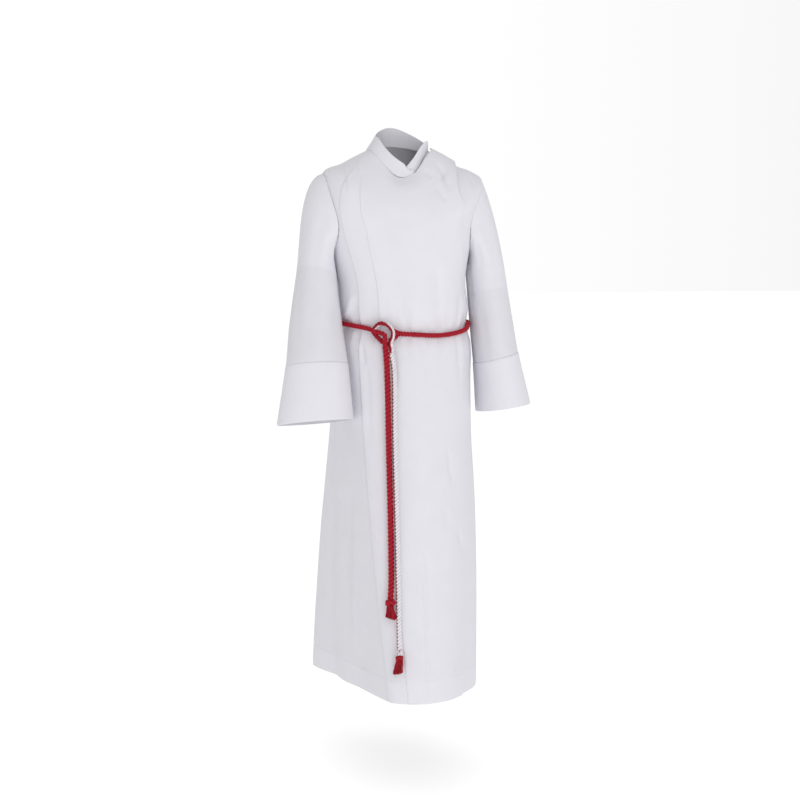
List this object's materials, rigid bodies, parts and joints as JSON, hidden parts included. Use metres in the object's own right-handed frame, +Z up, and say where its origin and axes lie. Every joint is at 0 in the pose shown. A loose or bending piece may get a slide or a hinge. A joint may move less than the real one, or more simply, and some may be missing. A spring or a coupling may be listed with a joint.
{
  "type": "worn altar server alb with rope cincture",
  "caption": "Youth alb in its worn, hollow form: long white robe with a lapped front, standing collar, wide cuffed sleeves and a rope cincture tied in front.",
  "frame": {"origin": "middle of the neck opening at the height of the shoulders' inner ends, where the wearer holds the robe up", "axes": "+Z up, -Y to the front of the wearer, +X to the wearer's left"},
  "size_m": [0.5359, 0.3999, 1.1517],
  "materials": {
    "cloth": "matte plain-woven white cloth",
    "rope_red": "twisted rope with a soft sheen",
    "rope_white": "twisted white rope with a red strand"
  },
  "bodies": {
    "root": {"front_right": "cloth", "front_left": "cloth", "back": "cloth", "sleeve_right": "cloth", "sleeve_left": "cloth", "cuff_right": "cloth", "cuff_left": "cloth", "collar": "cloth", "cincture_knot": "rope_red", "cincture_belt": "rope_red", "cord_red": "rope_red", "tassel_red": "rope_red", "tassel_white": "rope_red", "cord_white": "rope_white"}
  },
  "joints": []
}
